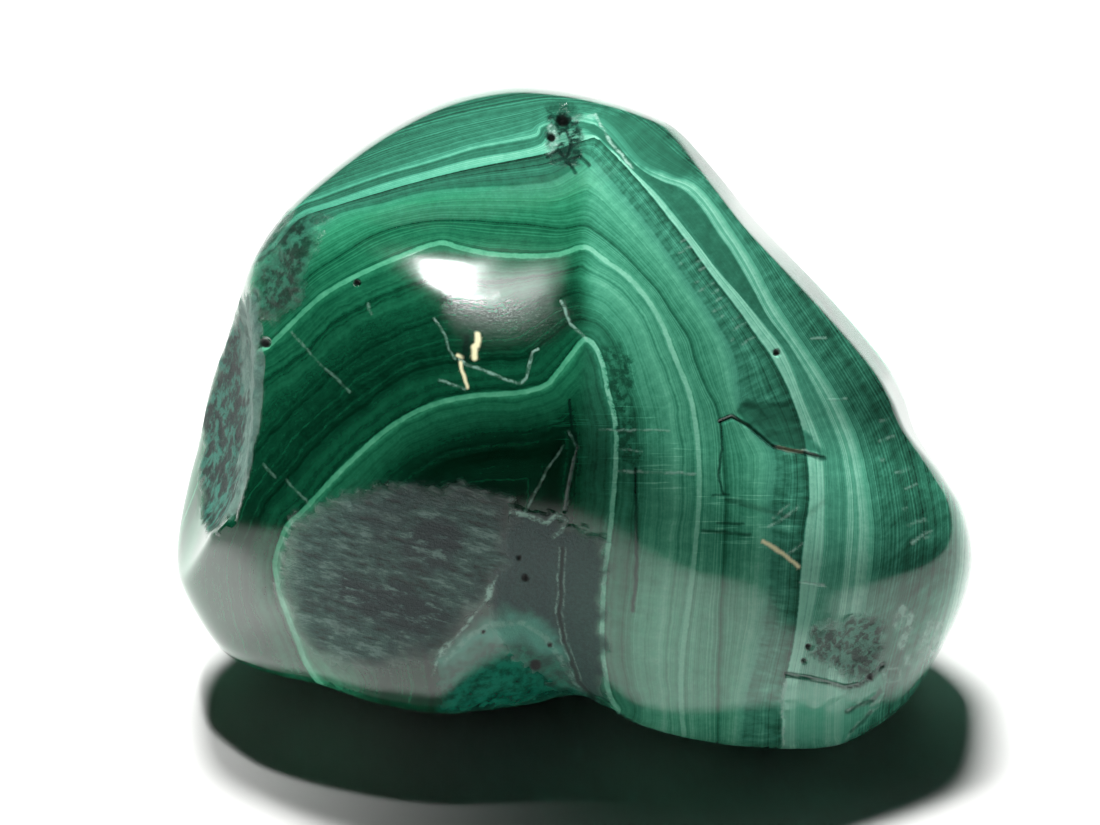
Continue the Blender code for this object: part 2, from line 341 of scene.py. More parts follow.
# Patches: how far the edge fades in pixels, then the corners in pixels
PATCHES = {
    "bruise": (24, [
        (259, 268), (289, 218), (323, 222), (307, 264), (296, 300), (275, 323), (254, 310),
    ]),
    "belly": (30, [
        (300, 520), (360, 492), (430, 486), (500, 500), (512, 560), (498, 580), (440, 648),
        (380, 668), (314, 656), (286, 590),
    ]),
    "flaked": (14, [(408, 524), (440, 518), (462, 536), (452, 566), (424, 570), (406, 548)]),
    "flaked_low": (14, [
        (336, 570), (380, 582), (440, 600), (452, 622), (420, 640), (372, 622), (338, 596),
    ]),
    "saddle": (14, [
        (512, 516), (560, 520), (600, 540), (604, 700), (560, 690), (520, 660), (488, 606),
        (503, 565),
    ]),
    "arch": (22, [
        (440, 657), (483, 623), (511, 612), (539, 623), (564, 646), (560, 662), (520, 640),
        (480, 648), (446, 668),
    ]),
    "turquoise": (18, [
        (440, 712), (446, 672), (480, 650), (520, 642), (562, 664), (590, 700), (560, 716),
    ]),
    "block": (4, [
        (722, 424), (732, 419), (748, 428), (773, 449), (824, 460), (826, 500), (800, 520),
        (724, 498),
    ]),
    "wedge": (6, [
        (742, 405), (790, 404), (806, 430), (824, 456), (775, 444), (748, 424), (736, 414),
    ]),
    "cloud": (8, [(600, 350), (622, 340), (640, 400), (642, 455), (618, 470), (612, 410)]),
    "broken": (6, [(782, 684), (846, 692), (885, 668), (880, 705), (845, 744), (782, 748)]),
    "corner": (16, [
        (826, 628), (850, 616), (884, 622), (886, 650), (872, 676), (846, 676), (824, 656),
    ]),
    "corner_left": (8, [(812, 634), (830, 628), (842, 640), (832, 660), (814, 658)]),
    "crumble": (8, [(546, 114), (576, 112), (586, 140), (580, 164), (560, 162), (546, 150)]),
    "hatched": (26, [(556, 400), (640, 396), (700, 440), (700, 500), (600, 490), (548, 470)]),
    "hatched_low": (20, [(690, 470), (760, 480), (800, 500), (800, 560), (700, 560)]),
    "haze": (24, [
        (446, 304), (482, 300), (600, 304), (620, 330), (540, 350), (486, 356), (468, 396),
        (450, 366),
    ]),
    "crest": (8, [(594, 112), (640, 112), (700, 170), (672, 178), (640, 168), (606, 140)]),
    "scar_pocket": (5, [
        (256, 292), (262, 350), (261, 420), (253, 480), (246, 514), (240, 526), (226, 518),
        (214, 532), (204, 522), (201, 480), (205, 430), (215, 380), (230, 330), (244, 300),
    ]),
}
# Flaws of the face that are patches, and the patches that carry some of them on
FACE_FLAWS = (
    "bruise", "belly", "flaked", "saddle", "arch", "turquoise", "wedge", "cloud", "broken",
    "crumble", "corner", "hatched", "haze",
)
CARRIED_ON = {"flaked": "flaked_low", "corner": "corner_left", "hatched": "hatched_low"}
# Painted fill light: the lower faces are painted paler between these rows, standing in for more light on
# them
PAINTED_FILL_LIGHT_BELOW_PX = (500.0, 620.0)
# The smooth strip beside the scar's crease, whose pale grey-green is partly a painted reflection, and where
# it ends in pixels
SCAR_CREASE = [(250, 300), (258, 350), (257, 420), (250, 480), (243, 515)]
SCAR_STRIP_ENDS_PX = (11.0, 15.0)

# Where the edges of pits and lines begin and end, as shares of a radius or width
PIT_COLOUR_EDGE = (0.6, 1.1)
PIT_WALL = (0.3, 1.1)
LINE_EDGE = (0.4, 1.3)
# How far from a chip's ball and from the flank its colour ends, in mm
CHIP_ENDS = (0.75, 0.95)
FLANK_ENDS = (0.25, 0.6)
# How far flaws are moved about in pixels, in waves and in frays, and how many of these per mm
MOVED_LITTLE_PX = (1.5, 1.0)
MOVED_FAR_PX = (9.0, 5.0)
MOVES_PER_MM = (0.7, 2.6)

# Relief in mm: depths of scratches, strokes and wedge, and how far the fault's block stands out
SCRATCH_DEPTH = 0.012
STROKE_DEPTH = 0.03
WEDGE_DEPTH = 0.06
BLOCK_HEIGHT = 0.05
# How uneven broken places are in mm, then each as a share of that
BREAK_HEIGHT = 0.09
BROKEN_PLACES = {
    "bruise": 1.0, "crumble": 1.0, "corner": 1.6, "corner_left": 1.0, "broken": 0.6, "wedge": 0.6,
}
# The uneven height of a break: how many humps per mm, how fast finer ones fade and shrink, and
# how many sizes there are
BREAK_HUMPS_PER_MM = 1.3
BREAK_OCTAVES = (0.7, 2.1, 5)
# How deep the scar's pocket is and how uneven its floor, in mm, and how it deepens and rises again
# away from the crease in pixels
POCKET_DEPTH = 0.6
POCKET_FLOOR_HEIGHT = 0.06
POCKET_PROFILE_PX = (4, 16, 52)
# How a tuck steepens, and how far it goes on past its full depth
TUCK_CURVE = 1.6
TUCK_REACH = 1.5

# Greens from darkest to palest, as tone and linear colour: dense stone, and chalky fibrous stone
DENSE_GREENS = [
    (0.0, (0.0003, 0.006, 0.0025)),
    (0.2, (0.001, 0.025, 0.011)),
    (0.35, (0.004, 0.070, 0.032)),
    (0.5, (0.012, 0.140, 0.068)),
    (0.65, (0.030, 0.240, 0.125)),
    (0.8, (0.085, 0.380, 0.220)),
    (0.9, (0.170, 0.520, 0.340)),
    (1.0, (0.280, 0.700, 0.500)),
]
CHALKY_GREENS = [
    (0.0, (0.002, 0.008, 0.005)),
    (0.2, (0.008, 0.028, 0.018)),
    (0.35, (0.017, 0.080, 0.050)),
    (0.5, (0.029, 0.162, 0.100)),
    (0.65, (0.056, 0.275, 0.178)),
    (0.8, (0.108, 0.425, 0.285)),
    (0.9, (0.190, 0.520, 0.370)),
    (1.0, (0.300, 0.700, 0.520)),
]
# Tone of the bands by band count, on the left limb and on the right one
LEFT_TONES = [
    (0, 0.20), (0.5, 0.22), (0.7, 0.31), (0.86, 0.48), (0.97, 0.54), (1.04, 0.31), (1.4, 0.26),
    (1.75, 0.33), (1.92, 0.44), (2.05, 0.48), (2.5, 0.48), (2.9, 0.45), (3.0, 0.35), (3.08, 0.54),
    (3.8, 0.60), (3.9, 0.68), (3.98, 0.66), (4.05, 0.46), (4.5, 0.44), (4.88, 0.38),
    (4.96, 0.20), (5.04, 0.80), (5.94, 0.85), (6.05, 0.48), (6.93, 0.50), (7.03, 0.84), (7.25, 0.70),
    (7.6, 0.57), (8.1, 0.52), (9.0, 0.47), (9.5, 0.40), (10, 0.28),
]
RIGHT_TONES = [
    (0, 0.28), (0.8, 0.42), (0.95, 0.50), (1.04, 0.46), (1.25, 0.54), (1.45, 0.70),
    (1.7, 0.72), (1.9, 0.70), (2.06, 0.71), (2.9, 0.66), (3.0, 0.42), (3.1, 0.66),
    (3.9, 0.76), (3.98, 0.72), (4.05, 0.57), (4.5, 0.56), (4.85, 0.50), (4.95, 0.32),
    (5.05, 0.99), (5.35, 0.87), (5.55, 0.97), (5.9, 0.90), (6.0, 0.66), (6.9, 0.71), (7.02, 0.92),
    (7.35, 0.78), (7.6, 0.95), (7.94, 0.86), (8.1, 0.62), (9.0, 0.43), (9.15, 0.47), (10, 0.36),
]
MOST_BANDS = 10.0
BANDS_TURN_BACK_AT = 9.2
BANDS_TURN_OVER = 6.2

# Noise of the stone
NOISES = {
    "band_waves": Noise(0.5, 2.0, swing=0.08),
    "band_ripples": Noise(3.0, 3.0, swing=0.022),
    "broad_bands": Noise(5.0, 2.0, swing=0.44),
    "fine_bands": Noise(22.0, 3.0, swing=0.62),
    "slants": Noise(1.0, 4.0, 0.65, swing=0.55),
    "fibres": Noise(1.0, 3.0, swing=0.60),
    "clouds": Noise(1.6, 5.0, 0.65, swing=0.22),
    "line_shake": Noise(2.5, 2.0, swing=2.0),
    "line_gaps": Noise(1.2, 4.0, 0.7, spots=(0.30, 0.62)),
    "grain": Noise(6.0, 6.0, 0.7, swing=0.16, spots=(0.35, 0.65)),
    "speckles": Noise(2.0, 6.0, 0.7, spots=(0.42, 0.60)),
    "hairs": Noise(1.0, 2.0, 0.6, spots=(0.60, 0.70)),
    "shades": Noise(1.1, 4.0, spots=(0.42, 0.60)),
    "lumps": Noise(1.1, 6.0, 0.7, swing=8.0, spots=(0.46, 0.59)),
    "strip_clouds": Noise(0.8, 6.0, 0.7, spots=(0.36, 0.62)),
    "streaks": Noise(1.3, 7.0, 0.72, spots=(0.50, 0.60)),
    "blotches": Noise(0.42, 4.0, 0.6, spots=(0.50, 0.60)),
    "lobe_spots": Noise(1.5, 5.0, 0.65, spots=(0.35, 0.65)),
    "cells": Noise(2.2, 5.0, 0.65, spots=(0.43, 0.56)),
    "crumbs": Noise(2.2, 4.0, 0.7, spots=(0.42, 0.56)),
}
# Noises that are laid in a direction: its angle in degrees, then the scales along and across it
LAID = {"slants": (40.0, 0.5, 1.8), "hairs": (0.0, 0.30, 6.5), "streaks": (-14.0, 0.45, 1.6)}

# Fine noises of the band count, and the row of the noise that each is read along
FINE_BAND_ROWS = {"broad_bands": 0.0, "fine_bands": 3.0}
# Bands by their count: where the outer ones change more, and by what factor
OUTER_BANDS_FROM = (5.0, 6.2)
OUTER_BANDS_CHANGE = 1.5
# How much paler the lower faces are painted, as painted fill light
PAINTED_FILL_LIGHT_ON_LOW_FACE = 0.07
# Where the slanted mottling of the right limb begins
MOTTLED_FROM = (8.0, 8.3)
# The dark gap between the outer pale lines: where it narrows and ends along the bands in pixels,
# the counts at which it starts when wide and when narrow, its fade and its end, then its tone
GAP_NARROWS_PX = (1040.0, 1250.0)
GAP_FADES_PX = (1160.0, 1300.0)
GAP_STARTS = (5.45, 5.95)
GAP_EDGE = 0.12
GAP_ENDS = (6.85, 7.0)
GAP_STRENGTH = 0.75
GAP_TONE = 0.42
# Fibres across the bands: how many per pixel and per band, how strong in the dark band on the left
# and on the right limb, and how strong elsewhere on the right one
FIBRES_PER_PX = 0.16
FIBRES_PER_BAND = 1.4
DARK_BAND_STARTS = (3.9, 4.1)
DARK_BAND_ENDS = (4.9, 5.1)
DARK_BAND_FIBRES = (0.25, 0.75)
RIGHT_LIMB_FIBRES = 0.22
# The outer bands are darker in their first part: where it ends, in pixels, and by what factor
DARKER_UP_TO_PX = (640.0, 860.0)
DARKER_BY = 0.80
# Where the stone turns from dense to chalky, and how chalky the right limb is
CHALKY_FROM = (3.6, 4.4)
RIGHT_LIMB_CHALKY = 0.55

# The two lines nearest the centre: half width and fade in pixels, and tone, then how strong they
# are on the left limb and where they are broken
INNER_LINES = {"past_first": (1.6, 1.8, 0.95), "past_second": (1.7, 1.5, 0.93)}
LEFT_LIMB_LINES = 0.70
LINE_IN_A_GAP = 0.75

# Places whose tone is drawn towards another: how far, and to what tone. Then the tone of the dark
# cloud's speckles, and what hairlines and shades add to the scored places
DRAWN_TONES = {"wedge": (0.55, 0.34), "crest": (0.6, 0.44), "broken": (0.6, 0.85)}
CLOUD_TONE = 0.33
HAIR_CHANGE = 0.16
SHADE_CHANGE = -0.04

# How far a flaw covers the bands, where that isn't in full
COVERS = {
    "bruise": 0.9, "belly": 0.92, "saddle": 0.85, "arch": 0.78, "turquoise": 0.9, "corner": 0.85,
    "cream_and_glints": 0.95, "dark": 0.8, "cracks": 0.75,
}
# Linear colours of the flaws: between and on the spots of a mottled one, and of a plain one
MOTTLED_COLOURS = {
    "scar": ((0.001, 0.014, 0.010, 1), (0.020, 0.14, 0.10, 1)),
    # The strip beside the scar's crease: its pale grey-green is partly a painted reflection
    "scar_sheen_strip": ((0.045, 0.12, 0.095, 1), (0.125, 0.24, 0.195, 1)),
    "bruise": ((0.001, 0.016, 0.009, 1), (0.022, 0.13, 0.082, 1)),
    "saddle": ((0.005, 0.034, 0.034, 1), (0.020, 0.074, 0.068, 1)),
    "turquoise": ((0.004, 0.070, 0.045, 1), (0.014, 0.24, 0.15, 1)),
    "corner": ((0.002, 0.014, 0.009, 1), (0.080, 0.28, 0.20, 1)),
}
PLAIN_COLOURS = {
    "arch": (0.08, 0.40, 0.29, 1),
    "flaked": (0.002, 0.018, 0.022, 1),
    "crumble": (0.004, 0.035, 0.022, 1),
    "pale": (0.30, 0.54, 0.44, 1),
    # cream_and_glints: cream scratch and crumbs, and painted glints
    "cream_and_glints": (0.92, 0.88, 0.55, 1),
    "dark": (0.002, 0.012, 0.008, 1),
    "cracks": (0.002, 0.014, 0.010, 1),
    "pits": (0.001, 0.003, 0.002, 1),
}
# The belly's colours by the value of its streaks
BELLY_COLOURS = [
    (0.38, (0.001, 0.014, 0.012)),
    (0.45, (0.015, 0.066, 0.054)),
    (0.53, (0.042, 0.116, 0.096)),
    (0.61, (0.140, 0.250, 0.215)),
]
# How far dark paint covers the belly's flakes and blotches, and how much of the crest's and of the
# pale lines' paint is left between their spots
FLAKED_COVER = 0.9
BLOTCH_COVER = 0.45
CRUMBLE_BETWEEN_CELLS = 0.4
PALE_BETWEEN_CRUMBS = 0.18

# Roughness of the polish, what the grain adds and what the roughest places add, then each place's
# share of that
POLISH_ROUGHNESS = 0.07
GRAIN_ROUGHNESS = 0.04
BREAK_ROUGHNESS = 0.62
ROUGH_PLACES = {
    "scar": 1.0, "bruise": 1.0, "belly": 1.0, "pits": 1.0, "saddle": 0.85, "corner": 0.6,
    "crumble": 0.5, "pale": 0.4, "flank": 0.22, "haze": 0.12,
}
# Fine relief: the bump's height in metres, its strength, and parts of it as shares of the height
BUMP_HEIGHT = 0.0002
BUMP_STRENGTH = 0.35
BELLY_STREAKS_HEIGHT = 2.4
SADDLE_GRAIN_HEIGHT = 1.5
TONE_HEIGHT = 0.03
LUMPY_PLACES = ("scar", "bruise", "corner", "crumble")
# Malachite refracts light about this much
REFRACTION = 1.8

FLOOR_REACH = 1.5
FLOOR_COLOUR = (0.62, 0.62, 0.61, 1)
FLOOR_ROUGHNESS = 0.8
WORLD_COLOUR = (0.001, 0.001, 0.001, 1)

# Area lights: place, sizes along Y and X in metres, power in watts
KEY_LIGHT = ((-0.06, 0.24, 0.68), (0.20, 0.09), 11.2)
# Those that the stone mirrors: the same, then the share of the size at which they begin to fade
MIRRORED_LIGHTS = {
    "lamp": ((-0.130, 0.025, 0.7), (0.098, 0.048), 0.8, 0.3),
    "glow": ((-0.070, -0.005, 0.72), (0.13, 0.19), 0.44, 0.05),
}
# The spot that brightens the floor at the left: its opening is in degrees, its softness in metres
POOL_PLACE = Vector((-0.075, -0.010, 0.4))
POOL_OPENING = 18.0
POOL_WATTS = 20.0
POOL_SOFTNESS = 0.02


def direction(bearing, tilt):
    """Unit vector of the viewing frame: bearing runs from u towards v, tilt towards w."""
    b, t = math.radians(bearing), math.radians(tilt)
    return np.array([math.cos(t) * math.cos(b), math.cos(t) * math.sin(b), math.sin(t)])


def mm_per_pixel():
    xs = [x for x, _ in OUTLINE_PX]
    return 1000 * STONE_WIDTH / (max(xs) - min(xs))


def to_plane(points_px):
    """Pixels of the photograph to u and v in millimetres."""
    points = np.asarray(points_px, float)
    flipped = (points - HEART_PX) * (1, -1)
    return flipped * mm_per_pixel()


def outline_radius(bearings):
    """Distance from the heart to the outline along each bearing, in mm, on a closed spline."""
    knots = to_plane(OUTLINE_PX)
    before, after, second = (np.roll(knots, shift, axis=0) for shift in (1, -1, -2))
    curve = []
    for t in np.linspace(0, 1, CURVE_STEPS, endpoint=False):
        curve.append(spline(before, knots, after, second, t))
    curve = np.concatenate(curve)
    angles = np.arctan2(curve[:, 1], curve[:, 0])
    order = np.argsort(angles)
    radii = np.hypot(curve[:, 0], curve[:, 1])
    return np.interp(bearings, angles[order], radii[order], period=2 * math.pi)


def spline(before, start, end, after, t):
    """Point at share t from start to end on a curve through four points."""
    return 0.5 * (
        2 * start + (end - before) * t
        + (2 * before - 5 * start + 4 * end - after) * t**2
        + (3 * start - before - 3 * end + after) * t**3
    )


def blended(facets, sharpness, dirs):
    """Sum that grows as the directions near the facets; a higher sharpness rounds edges less."""
    total = np.zeros(len(dirs))
    for x, y, w, bearing, tilt in facets.values():
        faces = direction(bearing, tilt)
        reach = faces @ (*to_plane((x, y)), w)
        total += np.clip(dirs @ faces / reach, 0, None) ** sharpness
    return total


def facet_radius(dirs):
    """Distance from the heart to the rounded polyhedron along each direction, in mm."""
    worn = blended(WORN_FACETS, WORN_SHARPNESS, dirs) ** (1 / WORN_SHARPNESS)
    crisp = blended(CRISP_FACETS, CRISP_SHARPNESS, dirs)
    return (worn**CRISP_SHARPNESS + crisp) ** (-1 / CRISP_SHARPNESS)


def polyhedron_outline(bearings):
    """Distance from the heart to the polyhedron's own outline along each bearing, in mm."""
    widest = np.zeros(len(bearings))
    for tilt in np.radians(np.arange(-50, 51, 2)):
        flat = np.cos(tilt)
        dirs = np.stack(
            [flat * np.cos(bearings), flat * np.sin(bearings), np.full(len(bearings), np.sin(tilt))],
            axis=1,
        )
        widest = np.maximum(widest, facet_radius(dirs) * flat)
    return widest


def fitted_to_outline(points):
    """Points moved out or in across the view, so that the widest ones reach the outline."""
    ring = np.radians(np.arange(-180, 180, 1.0))
    own = polyhedron_outline(ring)
    bearings = np.arctan2(points[:, 1], points[:, 0])
    reach = np.interp(bearings, ring, own, period=2 * math.pi)
    share = np.clip(np.hypot(points[:, 0], points[:, 1]) / reach, 0, 1)
    depth_range = FITTED_IN_FULL_FROM - NOT_FITTED_BEHIND
    forward = np.clip((points[:, 2] - NOT_FITTED_BEHIND) / depth_range, 0, 1)
    stretch = 1 + (outline_radius(bearings) / reach - 1) * share**2 * forward
    return points * np.stack([stretch, stretch, np.ones(len(points))], axis=1)


def groove(points):
    """Depth of the groove between the lobes along w, on the side towards the eye, in mm."""
    offset = (points[:, :2] - to_plane(GROOVE_PX)) / mm_per_pixel() / GROOVE_SPREADS_PX
    facing = np.clip(points[:, 2] / GROOVE_FADES_IN_OVER, 0, 1)
    return GROOVE_DEPTH * np.exp(-(offset**2).sum(axis=1) / 2) * facing


def chipped(points):
    """Points moved in towards the heart, out of every chip's ball of air."""
    reach = np.linalg.norm(points, axis=1)
    dirs = points / reach[:, None]
    for x, y, w, radius in CHIPS.values():
        centre = np.array([*to_plane((x, y)), w])
        along = dirs @ centre
        inside = along**2 - centre @ centre + radius**2
        entry = along - np.sqrt(np.clip(inside, 0, None))
        hit = (inside > 0) & (along > 0)
        rounded = (reach[hit] ** -CHIP_SHARPNESS + entry[hit] ** -CHIP_SHARPNESS) ** (-1 / CHIP_SHARPNESS)
        reach[hit] = rounded
    return dirs * reach[:, None]


def stone_surface(dirs):
    """The point of the stone's surface along each direction from its heart, in mm."""
    points = fitted_to_outline(dirs * facet_radius(dirs)[:, None])
    points[:, 2] -= groove(points)
    return chipped(points)


def tipped_back(points):
    """From the viewing frame to X right, Y away and Z up, in metres, with the base at Z = 0."""
    c, s = math.cos(math.radians(VIEW_ELEVATION)), math.sin(math.radians(VIEW_ELEVATION))
    u, v, w = points.T / 1000
    return np.stack([u, v * s - w * c, v * c + w * s], axis=1) + HEART_PLACE


def tipped_up(places):
    """From the part's frame in metres back to the viewing frame in mm."""
    c, s = math.cos(math.radians(VIEW_ELEVATION)), math.sin(math.radians(VIEW_ELEVATION))
    x, y, z = ((places - HEART_PLACE) * 1000).T
    return np.stack([x, y * s + z * c, z * s - y * c], axis=1)


def seen_at(points):
    """Pixels of the photograph at which the camera sees points of the viewing frame."""
    eye = 1000 * EYE_DISTANCE
    nearer = eye / (eye - points[:, 2])
    offset = (points[:, :2] - to_plane(AIMED_AT_PX)) * nearer[:, None] / mm_per_pixel()
    return PICTURE_MIDDLE_PX + offset * (1, -1)


def smooth_step(values, low, high):
    share = np.clip((values - low) / (high - low), 0, 1)
    return share * share * (3 - 2 * share)


def nearest_on(places, line):
    """Distance from each place to a line, and how far along the line its nearest point lies."""
    line = np.asarray(line, float)
    away = np.full(len(places), np.inf)
    along = np.zeros(len(places))
    travelled = 0.0
    for start, end in zip(line, line[1:]):
        step = end - start
        length = np.hypot(*step)
        share = np.clip((places - start) @ step / length**2, 0, 1)
        gap = np.hypot(*(places - start - share[:, None] * step).T)
        nearer = gap < away
        away[nearer] = gap[nearer]
        along[nearer] = travelled + share[nearer] * length
        travelled += length
    return away, along


def within(places, corners):
    """Whether each place lies within a closed line of corners."""
    odd = np.zeros(len(places), bool)
    x, y = places.T
    for (x0, y0), (x1, y1) in zip(corners, np.roll(corners, -1, axis=0)):
        if y0 != y1:
            crosses = (y0 > y) != (y1 > y)
            odd ^= crosses & (x < x0 + (y - y0) * (x1 - x0) / (y1 - y0))
    return odd


def patch(places, *names):
    """1 within any of the named patches and 0 outside them, with edges that fade."""
    share = np.zeros(len(places))
    for name in names:
        fade, corners = PATCHES[name]
        edge, _ = nearest_on(places, corners + corners[:1])
        inwards = np.where(within(places, corners), edge, -edge)
        share = np.maximum(share, smooth_step(inwards, -fade / 2, fade / 2))
    return share


def near(away, size, edge):
    """1 near the middle of a pit or line and 0 far from it, its edge as shares of its size."""
    begins, ends = edge
    return 1 - smooth_step(away, begins * size, ends * size)


def along_lines(places, lines):
    """Each line's strength on it, and 0 beyond the lines' widths."""
    share = np.zeros(len(places))
    for width, strength, line in lines:
        away, _ = nearest_on(places, line)
        share = np.maximum(share, strength * near(away, width, LINE_EDGE))
    return share


def band_curve(line):
    """A band line as a smooth curve through its points."""
    knots = np.array([line[0], *line, line[-1]], float)
    curve = [
        spline(*knots[i:i + 4], t)
        for i in range(len(line) - 1)
        for t in np.linspace(0, 1, BAND_CURVE_STEPS, endpoint=False)
    ]
    return np.array([*curve, line[-1]])


def past_line(places, line):
    """Pixels from a band line to each place, negative within the line, and the way along it."""
    curve = band_curve(line)
    away, along = nearest_on(places, curve)
    closed = [*curve, (curve[-1][0], BELOW_THE_STONE_PX), (curve[0][0], BELOW_THE_STONE_PX)]
    return np.where(within(places, closed), -away, away), along


def band_fields(points):
    """Band count, way along the bands, pixels past the two innermost lines, and the right limb."""
    behind = np.clip(SHELLS_BEHIND - points[:, 2], 0, None)
    drift = behind[:, None] * GROWTH_DRIFT / mm_per_pixel()
    places = seen_at(points) + drift * (1, -1)
    past, ways = zip(*(past_line(places, line) for line in BAND_LINES))
    count = np.clip(1 + past[0] / CORE_REACH_PX, 0, 1)
    for inner, outer in zip(past, past[1:]):
        count += np.clip(inner / np.maximum(inner - outer, 0.001), 0, 1)
    count += np.clip(past[-1], 0, None) / OUTER_BAND_PX
    hidden = behind * LINES_END_BEHIND
    return {
        "bands": np.hypot(count, behind / SHELL_SPACING),
        "way": ways[FIBRE_LINE],
        "past_first": past[0] + hidden,
        "past_second": past[1] + hidden,
        "right_limb": smooth_step(places[:, 0], *LIMBS_MEET_BETWEEN_PX),
    }


def dashes():
    """The short strokes near the right rim, as pale lines."""
    strokes = []
    mean, change = STROKE_LENGTHS
    for first, last, count, stroke, width, strength in DASH_ROWS.values():
        for turn, start in enumerate(np.linspace(first, last, count)):
            share = mean + change * math.sin(STROKE_CHANGE * turn)
            shift = STROKE_SHIFT * math.cos(2 * STROKE_CHANGE * turn)
            start = start + np.multiply(stroke, shift)
            strokes.append((width, strength, [tuple(start), tuple(start + np.multiply(stroke, share))]))
    return strokes


def unevenness(points):
    """Uneven height of a broken face at each point, between about -1 and 1."""
    return np.array([noise.fractal(Vector(p) * BREAK_HUMPS_PER_MM, *BREAK_OCTAVES) for p in points])


def on_scar(points, places):
    """1 in the pocket of the left scar and 0 elsewhere."""
    x, y, w, radius = CHIPS["left_scar"]
    off = np.abs(np.linalg.norm(points - (*to_plane((x, y)), w), axis=1) - radius)
    return (1 - smooth_step(off, *CHIP_ENDS)) * patch(places, "scar_pocket")


def on_flank(points):
    """1 on the flat flank at the right and 0 elsewhere."""
    x, y, w, bearing, tilt = CRISP_FACETS["right_flank"]
    faces = direction(bearing, tilt)
    off = np.abs((points - (*to_plane((x, y)), w)) @ faces)
    return 1 - smooth_step(off, *FLANK_ENDS)


def front_share(points):
    return smooth_step(points[:, 2], *FLAWS_SEEN_FROM)


def moved_about(points, amounts_px):
    """Places of points, moved in waves and frays, so that edges and lines aren't straight."""
    places = seen_at(points)
    for per_mm, amount in zip(MOVES_PER_MM, amounts_px):
        places = places + amount * np.array([noise.noise_vector(Vector(p) * per_mm)[:2] for p in points])
    return places


def flaw_fields(points):
    """Each kind of flaw as a share from 0 to 1 at each point."""
    steady = moved_about(points, MOVED_LITTLE_PX)
    places = moved_about(points, MOVED_FAR_PX)
    pits = np.zeros(len(points))
    for x, y, radius, _ in PITS.values():
        pits = np.maximum(pits, near(np.hypot(*(steady - (x, y)).T), radius, PIT_COLOUR_EDGE))
    fields = {
        "pits": pits,
        "cracks": along_lines(steady, [(width, 1.0, line) for width, _, line in CRACKS.values()]),
        "pale": along_lines(steady, [*PALE_LINES.values(), *dashes()]),
        # Cream lines, mostly painted glints
        "cream_and_glints": along_lines(steady, CREAM_AND_GLINT_LINES.values()),
        "dark": along_lines(steady, DARK_LINES.values()),
        # low: painted fill light, from 0 above to 1 below, that makes the lower faces paler
        "low": smooth_step(places[:, 1], *PAINTED_FILL_LIGHT_BELOW_PX),
    }
    for name in FACE_FLAWS:
        fields[name] = patch(places, *{name, CARRIED_ON.get(name, name)})
    front = front_share(points)
    fields = {name: values * front for name, values in fields.items()}
    fields["scar"] = on_scar(points, places)
    fields["scar_sheen_strip"] = 1 - smooth_step(nearest_on(places, SCAR_CREASE)[0], *SCAR_STRIP_ENDS_PX)
    fields["flank"] = on_flank(points)
    fields["crest"] = patch(places, "crest")
    return fields


def set_back(points):
    """How far the face is set back along w at each point, in mm, by its tucks and swellings."""
    x, y = seen_at(points).T
    back = np.zeros(len(points))
    for middle, half_width, start, full, depth in TUCKS.values():
        across = np.exp(-(((x - middle) / half_width) ** 4))
        back += depth * across * np.clip((y - start) / (full - start), 0, TUCK_REACH) ** TUCK_CURVE
    for middle_x, middle_y, spread_x, spread_y, height in SWELLINGS.values():
        off = ((x - middle_x) / spread_x) ** 2 + ((y - middle_y) / spread_y) ** 2
        back -= height * np.exp(-off / 2)
    return back * front_share(points)


def hollows(places):
    """How deep the pits and cracks are at each place, in mm."""
    depth = np.zeros(len(places))
    for x, y, radius, deep in PITS.values():
        away = np.hypot(*(places - (x, y)).T)
        depth = np.maximum(depth, deep * near(away, radius, PIT_WALL))
    for width, deep, line in CRACKS.values():
        away, _ = nearest_on(places, line)
        depth = np.maximum(depth, deep * near(away, width, (0, 1)))
    return depth


def relief(points):
    """How far each point lies under the smooth stone, in mm."""
    places = seen_at(points)
    depth = hollows(places)
    depth += SCRATCH_DEPTH * along_lines(places, PALE_LINES.values())
    depth += STROKE_DEPTH * along_lines(places, dashes())
    depth += WEDGE_DEPTH * patch(places, "wedge") - BLOCK_HEIGHT * patch(places, "block")
    broken = np.zeros(len(points))
    for name, share in BROKEN_PLACES.items():
        broken = np.maximum(broken, share * patch(places, name))
    humps = unevenness(points)
    depth += BREAK_HEIGHT * broken * humps
    pocket = POCKET_DEPTH * np.interp(nearest_on(places, SCAR_CREASE)[0], POCKET_PROFILE_PX, (0, 1, 0))
    scar = on_scar(points, places) * (pocket + POCKET_FLOOR_HEIGHT * humps)
    return depth * front_share(points) + scar


def flaw_distance(places):
    """Pixels from each place to the nearest pit, crack or pale line."""
    nearest = np.full(len(places), np.inf)
    for x, y, radius, _ in PITS.values():
        nearest = np.minimum(nearest, np.hypot(*(places - (x, y)).T) - radius)
    for table in (CRACKS, PALE_LINES, CREAM_AND_GLINT_LINES, DARK_LINES, dict(enumerate(dashes()))):
        for _, _, line in table.values():
            nearest = np.minimum(nearest, nearest_on(places, line)[0])
    return nearest


def quarter(ball, wanted):
    """Quarter the faces of the ball for which wanted is true."""
    fine = {face for face, yes in zip(ball.faces[:], wanted) if yes}
    edges = [edge for edge in ball.edges if fine.intersection(edge.link_faces)]
    bmesh.ops.subdivide_edges(ball, edges=edges, cuts=1, use_grid_fill=True)
    bmesh.ops.triangulate(ball, faces=ball.faces[:])


def face_points(ball):
    return stone_surface(np.array([face.calc_center_median().normalized() for face in ball.faces]))


def finely_meshed_ball():
    """A unit ball whose faces are small where the eye sees them, and smallest on the flaws."""
    ball = bmesh.new()
    bmesh.ops.create_icosphere(ball, subdivisions=COARSE_LEVEL, radius=1)
    for depth in FINER_IN_FRONT_OF:
        quarter(ball, face_points(ball)[:, 2] > depth)
    points = face_points(ball)
    near = flaw_distance(seen_at(points)) < FINEST_WITHIN_PX
    quarter(ball, near & (points[:, 2] > FLAWS_SEEN_FROM[0]))
    return ball


